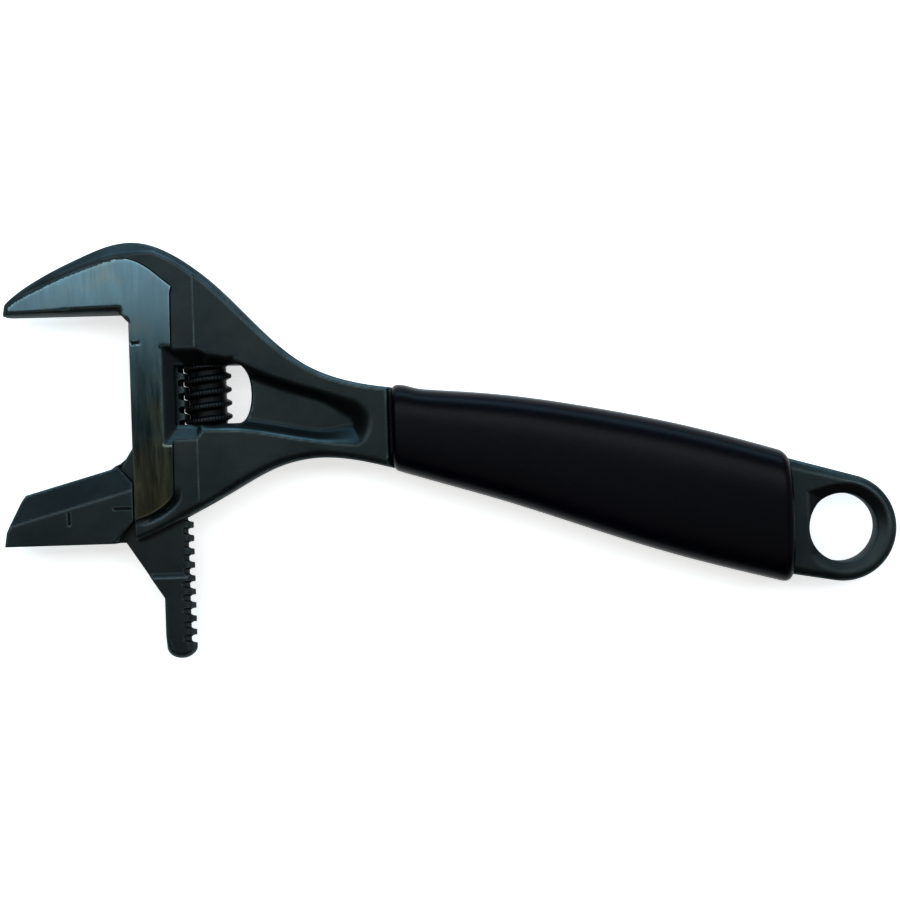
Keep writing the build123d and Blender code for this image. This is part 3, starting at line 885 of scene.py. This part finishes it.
def jaw_height(outline):
    """The function that gives the jaw's half thickness at each point."""
    corners = jaw_corners()
    block = block_ring(corners)
    pipe_face = line(corners["nose_high"], corners["top_heel"])

    def height(p):
        x, y = p.T
        # A bar with two flats, thicker below the step. It is round on the side of the rack, and
        # on both sides above the web.
        out = np.clip(np.abs(x - RACK_X), 0, RACK_RADIUS - 0.02)
        flat = 2.35 + 0.5 * ramp(y, TAIL_STEP_Y + 0.5, TAIL_STEP_Y - 0.5)
        bar = soft_min(np.sqrt(RACK_RADIUS**2 - out**2), flat, 0.7)
        edge = distance(p, outline, closed=True)
        near_foot = ramp(y, RACK_END_Y + 6, RACK_END_Y + 2)
        eased = rounded(flat, edge, 0.5 + 1.4 * near_foot)
        ramp_y = corners["ramp_top"][1] - (RACK_X - x) * math.tan(WEB_RAMP)
        is_round = (x > RACK_X) | (y > ramp_y - 0.6)
        z = np.where(is_round, np.minimum(bar, eased * near_foot + bar * (1 - near_foot)), eased)

        # The block, tapering to its tip, with the wide bevel beside the pipe face.
        in_block = depth_inside(p, block)
        full = np.interp(x, [BLOCK_TIP_X, BLOCK_HEEL_X], [BLOCK_TIP_HALF, BLOCK_HALF])
        from_face = distance(p, pipe_face)
        across = (corners["top_heel"][1] + (x - corners["top_heel"][0]) * PIPE_FACE_RISE - y)
        across *= math.cos(math.atan(PIPE_FACE_RISE))
        top = soft_min(full, full - (6.1 - across) * 0.39, 0.12)
        # The corners at the heel are cut at a slope, down to the web.
        top = soft_min(top, full + 0.1 - 0.65 * heel_cut(p), 0.15)
        top = rounded(top, np.minimum(edge, from_face), 0.35)
        top = np.maximum(top, 0.6) - TICK_DEPTH * on_tick(p, JAW_TICKS)
        return np.where(in_block > -0.01, np.maximum(z, top), z)

    return height


def on_tick(p, ticks):
    """1 on the short engraved reference lines, 0 beside them."""
    best = np.zeros(len(p))
    for start, end in ticks:
        best = np.maximum(best, 1 - ramp(distance(p, line(start, end)), 0.22, 0.38))
    return best


def paint_ticks(target, ticks, slot):
    """Gives the engraved lines their black filling."""
    centres, normals = face_data(target)
    marked = on_tick(centres[:, :2], ticks) > 0.45
    marked &= np.abs(normals[:, 2]) > 0.3
    marked &= np.abs(centres[:, 2]) > 4
    current = np.zeros(len(centres), np.int32)
    target.data.polygons.foreach_get("material_index", current)
    target.data.polygons.foreach_set("material_index", np.where(marked, slot, current))


def block_ring(corners):
    """The outline of the thick block at the end of the jaw."""
    names = ("block_low", "tip_low", "tip_high", "nose_low", "nose_high", "top_heel", "heel_high")
    chain = [corners[name] for name in names]
    chain += [(BLOCK_HEEL_X, 15.9), (BLOCK_HEEL_X, 7.3), chain[0]]
    return loop(*(line(a, b) for a, b in zip(chain, chain[1:])))


def heel_cut(p):
    """How far points lie beyond the two sloping shoulder lines at the heel."""
    x, y = p.T
    upper = ((x + 170.8) + (y - 20.2)) / math.sqrt(2)
    lower = ((x + 171.3) - (y - BLOCK_BOTTOM_Y)) / math.sqrt(2)
    return np.maximum(np.maximum(upper, lower) + 0.8, 0)


def rack_cutters():
    """Round-bottomed grooves for the worm's thread, slanted to its lead."""
    lead_angle = math.atan2(LEAD, 2 * math.pi * (WORM_RADIUS - THREAD_DEPTH / 2))
    above = int((RACK_TOP_Y - MESH_Y) / LEAD)
    below = int((MESH_Y - RACK_END_Y) / LEAD) - 1
    crest_x = RACK_X + RACK_RADIUS
    profile = [(0.9, 1.16), (0.0, 0.98), (-0.7, 0.83), (-1.0, 0.68), (-1.25, 0.45)]
    profile += [(a, -b) for a, b in reversed(profile)]
    points, faces = [], []
    stations = np.linspace(-4.2, 4.2, 9)
    n = len(profile)
    for i in range(-below, above + 1):
        first = len(points)
        for z in stations:
            for a, b in profile:
                deeper = 0.19 * z * z if a < -0.5 else 0.0
                middle = MESH_Y + i * LEAD + z * math.tan(lead_angle)
                points.append((crest_x + a - deeper, middle + b, z))
        for k in range(len(stations) - 1):
            for j in range(n):
                one, two = first + k * n, first + (k + 1) * n
                faces.append((one + j, one + (j + 1) % n, two + (j + 1) % n, two + j))
        faces.append(tuple(range(first, first + n)))
        last = first + (len(stations) - 1) * n
        faces.append(tuple(reversed(range(last, last + n))))
    return tool("rack_tool", points, faces)


def make_jaw():
    outline = jaw_outline()
    block = block_ring(jaw_corners())
    hints = offset_lines(outline, (0.12, 0.35), closed=True)
    hints += offset_lines(block, (-0.1, 0.0), closed=True)
    hints += [line((x, -26), (x, 43)) for x in (RACK_X + 2.9, RACK_X + 3.3, RACK_X + 2.4)]
    hints += [line((-166, y), (-153, y)) for y in (TAIL_STEP_Y - 0.5, TAIL_STEP_Y + 0.5)]
    hints += tick_hints(JAW_TICKS)
    made = relief_solid("sliding_jaw", [outline], hints, jaw_height(outline), forged, "jaw")
    cut(made, [rack_cutters()])
    crisp(made)
    mark_edges(made)
    made.data.materials.append(black_fill)
    paint_ticks(made, JAW_TICKS, 1)
    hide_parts("movable_jaw")
    return made


# ---- grip ---------------------------------------------------------------------------------------


def make_grip():
    """A soft sleeve: boxy sections with full round sides, a lip in front and a swollen rear."""
    sides = 112
    turn = np.linspace(0, 2 * np.pi, sides, endpoint=False)
    power = 0.52
    across = np.sign(np.cos(turn)) * np.abs(np.cos(turn)) ** power
    through = np.sign(np.sin(turn)) * np.abs(np.sin(turn)) ** power
    length = GRIP_REAR_X - GRIP_FRONT_X
    front_round, rear_round = 1.5, 2.6
    body_stations = np.linspace(0, length, 90)
    front = front_round * (1 - np.cos(np.linspace(0, np.pi / 2, 7)))
    rear = length - rear_round * (1 - np.cos(np.linspace(np.pi / 2, 0, 10)))
    middle = body_stations[(body_stations > front_round) & (body_stations < length - rear_round)]
    rings = []
    for s in np.concatenate([front, middle, rear]):
        x = GRIP_FRONT_X + s
        top, bottom = grip_line(x, 1), grip_line(x, -1)
        lip = 0.75 * math.exp(-(((s - 2.4) / 3.0) ** 2))
        half = np.interp(s, [0, 20, 60, length], [8.9, 9.2, GRIP_HALF, GRIP_HALF])
        inset = front_round - math.sqrt(max(front_round**2 - max(front_round - s, 0) ** 2, 0))
        gap = max(rear_round - (length - s), 0)
        inset += rear_round - math.sqrt(max(rear_round**2 - gap**2, 0))
        centre, tall = (top + bottom) / 2, (top - bottom) / 2
        y = centre + across * (tall - inset) + lip * np.clip(across, 0, 1) ** 2
        z = through * (half - inset)
        bow = 0.4 * (s / length) ** 8 * across**2
        rings.append(np.column_stack([x - bow, y, z]))
    inner = []
    for x, half in ((GRIP_REAR_X - 0.5, 4.3), (GRIP_FRONT_X + 0.6, 4.6)):
        top, bottom = grip_line(x, 1) - 1.2, grip_line(x, -1) + 1.2
        y = (top + bottom) / 2 + across * (top - bottom) / 2
        inner.append(np.column_stack([np.full(sides, x), y, through * half]))
    rings = [inner[1]] + rings + [inner[0]]
    faces = lathe_strips(rings + [rings[0]])
    count = len(rings) * sides
    faces = [tuple(v % count for v in f) for f in faces]
    made = mesh_object("soft_grip", np.concatenate(rings), faces, rubber, "wrench_body")
    crisp(made, 60)
    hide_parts("grip")
    return made


# ---- worm ---------------------------------------------------------------------------------------


def make_worm():
    """The worm: a right-hand thread with round roots and a knurled crest, bored for its pin."""
    low, high = WORM_LOW[1] - 0.1, WORM_HIGH[1] + 0.1
    around, knurls = 264, 44
    turn = np.linspace(0, 2 * np.pi, around, endpoint=False)
    levels = np.linspace(low, high, 96)
    rings = []
    for y in levels:
        phase = (y - MESH_Y) / LEAD - turn / (2 * np.pi)
        off = np.abs(phase - np.round(phase))
        crest = 0.5 + 0.5 * np.cos(np.pi * np.clip((off - 0.08) / 0.27, 0, 1))
        notch = 0.13 * crest**3 * (0.5 + 0.5 * np.cos(knurls * turn))
        radius = WORM_RADIUS - ROOT_DEPTH * (1 - crest) - notch
        ease = min(y - low, high - y)
        radius = np.minimum(radius, 5.25 + 1.3 * ease)
        rings.append(worm_ring(radius, y, turn))
    pocket_radius, pocket_depth = SPRING_POCKET
    rings.append(worm_ring(PIN_BORE, high, turn))
    rings.append(worm_ring(PIN_BORE, low + pocket_depth, turn))
    rings.append(worm_ring(pocket_radius, low + pocket_depth, turn))
    rings.append(worm_ring(pocket_radius, low, turn))
    count = len(rings) * around
    faces = [tuple(v % count for v in f) for f in lathe_strips(rings + [rings[0]])]
    made = mesh_object("knurled_worm", np.concatenate(rings), faces, blackened, "worm")
    crisp(made, 50)
    mark_edges(made)
    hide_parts("worm")
    return made


def worm_ring(radius, y, turn):
    """Points round the worm's axis. The angle starts on the rack's side."""
    x = WORM_X - radius * np.cos(turn)
    z = radius * np.sin(turn)
    return np.column_stack([x, np.full(len(turn), y), z])


# ---- CAD nodes that stay, with edges eased and a finish ----------------------------------------------


def finish_cad(node, material, edge):
    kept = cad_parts[node]
    kept.data.materials.clear()
    kept.data.materials.append(material)
    if edge:
        bevel = kept.modifiers.new("eased_edges", "BEVEL")
        bevel.width = edge * MM
        bevel.segments = 2
        bevel.limit_method = "ANGLE"
        bevel.angle_limit = math.radians(28)
        bevel.harden_normals = True
    return kept


# ---- the studio -----------------------------------------------------------------------------------


def make_floor():
    """A plain pale floor under the wrench, which glows a little, as a light table does."""
    floor_z = cad_box[0][2] / MM - 0.05
    reach = 20000
    corners = [(-reach, -reach), (reach, -reach), (reach, reach), (-reach, reach)]
    mesh = bpy.data.meshes.new("pale_floor")
    points = [(x * MM, y * MM, floor_z * MM) for x, y in corners]
    mesh.from_pydata(points, [], [(0, 1, 2, 3)])
    floor = bpy.data.objects.new("pale_floor", mesh)
    bpy.context.scene.collection.objects.link(floor)
    look = Look("pale_floor", Base_Color=(0.9, 0.9, 0.9, 1), Roughness=0.8)
    look.shader.inputs["Emission Color"].default_value = (1, 1, 1, 1)
    look.shader.inputs["Emission Strength"].default_value = 0.7
    floor.data.materials.append(look.material)


def add_softbox(name, place, target, size, brightness, colour):
    """A soft rectangular light; its brightness is what a mirror would show."""
    light = bpy.data.lights.new(name, "AREA")
    light.shape = "RECTANGLE"
    light.size, light.size_y = size
    light.energy = brightness * math.pi * size[0] * size[1]
    light.color = colour
    lamp = bpy.data.objects.new(name, light)
    lamp.location = place
    aim = Vector(target) - Vector(place)
    lamp.rotation_euler = aim.to_track_quat("-Z", "Y").to_euler()
    bpy.context.scene.collection.objects.link(lamp)


def make_light():
    above, below, middle = (-0.15, 0.30, 1.0), (-0.15, -0.34, 1.0), (-0.09, 0.02, 0)
    add_softbox("overhead", above, (*above[:2], 0), (1.8, 0.34), 3.4, (0.88, 0.97, 1))
    add_softbox("warm_fill", below, (*below[:2], 0), (1.8, 0.5), 0.4, (1, 0.93, 0.72))
    add_softbox("back", (-0.1, 1.0, 0.42), middle, (1.6, 0.5), 4.0, (0.5, 0.8, 1))
    add_softbox("side", (0.9, 0.1, 0.45), middle, (0.8, 0.5), 0.6, (0.9, 0.92, 1))
    make_backdrop()


def make_backdrop():
    """A dim studio to light the steel, which looks pale where it is seen past the floor's edge."""
    world = bpy.data.worlds.new("studio")
    world.use_nodes = True
    tree = world.node_tree
    seen = tree.nodes.new("ShaderNodeLightPath")
    strength = tree.nodes.new("ShaderNodeMath")
    strength.operation = "MULTIPLY_ADD"
    strength.inputs[1].default_value = 0.9
    strength.inputs[2].default_value = 0.04
    background = tree.nodes["Background"]
    background.inputs["Color"].default_value = (1, 1, 1, 1)
    tree.links.new(seen.outputs["Is Camera Ray"], strength.inputs[0])
    tree.links.new(strength.outputs[0], background.inputs["Strength"])
    bpy.context.scene.world = world


def make_camera():
    """Looks straight down on the flat wrench, which is turned a little in the picture."""
    distance_m, width_m = 0.45, 0.2136
    data = bpy.data.cameras.new("camera")
    data.sensor_width = 36
    data.lens = data.sensor_width * distance_m / width_m
    camera = bpy.data.objects.new("camera", data)
    camera.location = (-0.0921, 0.0213, distance_m)
    camera.rotation_euler = (0, 0, math.radians(-1.9))
    bpy.context.scene.collection.objects.link(camera)
    bpy.context.scene.camera = camera
    bpy.context.scene.view_settings.view_transform = "Standard"
    bpy.context.scene.view_settings.gamma = 0.8


# ---- put it together ---------------------------------------------------------------------------------

make_forging()
make_jaw()
make_grip()
make_worm()
finish_cad("worm_pin", blackened, 0.15)
finish_cad("worm_spring", wire, 0)
make_floor()
make_light()
make_camera()
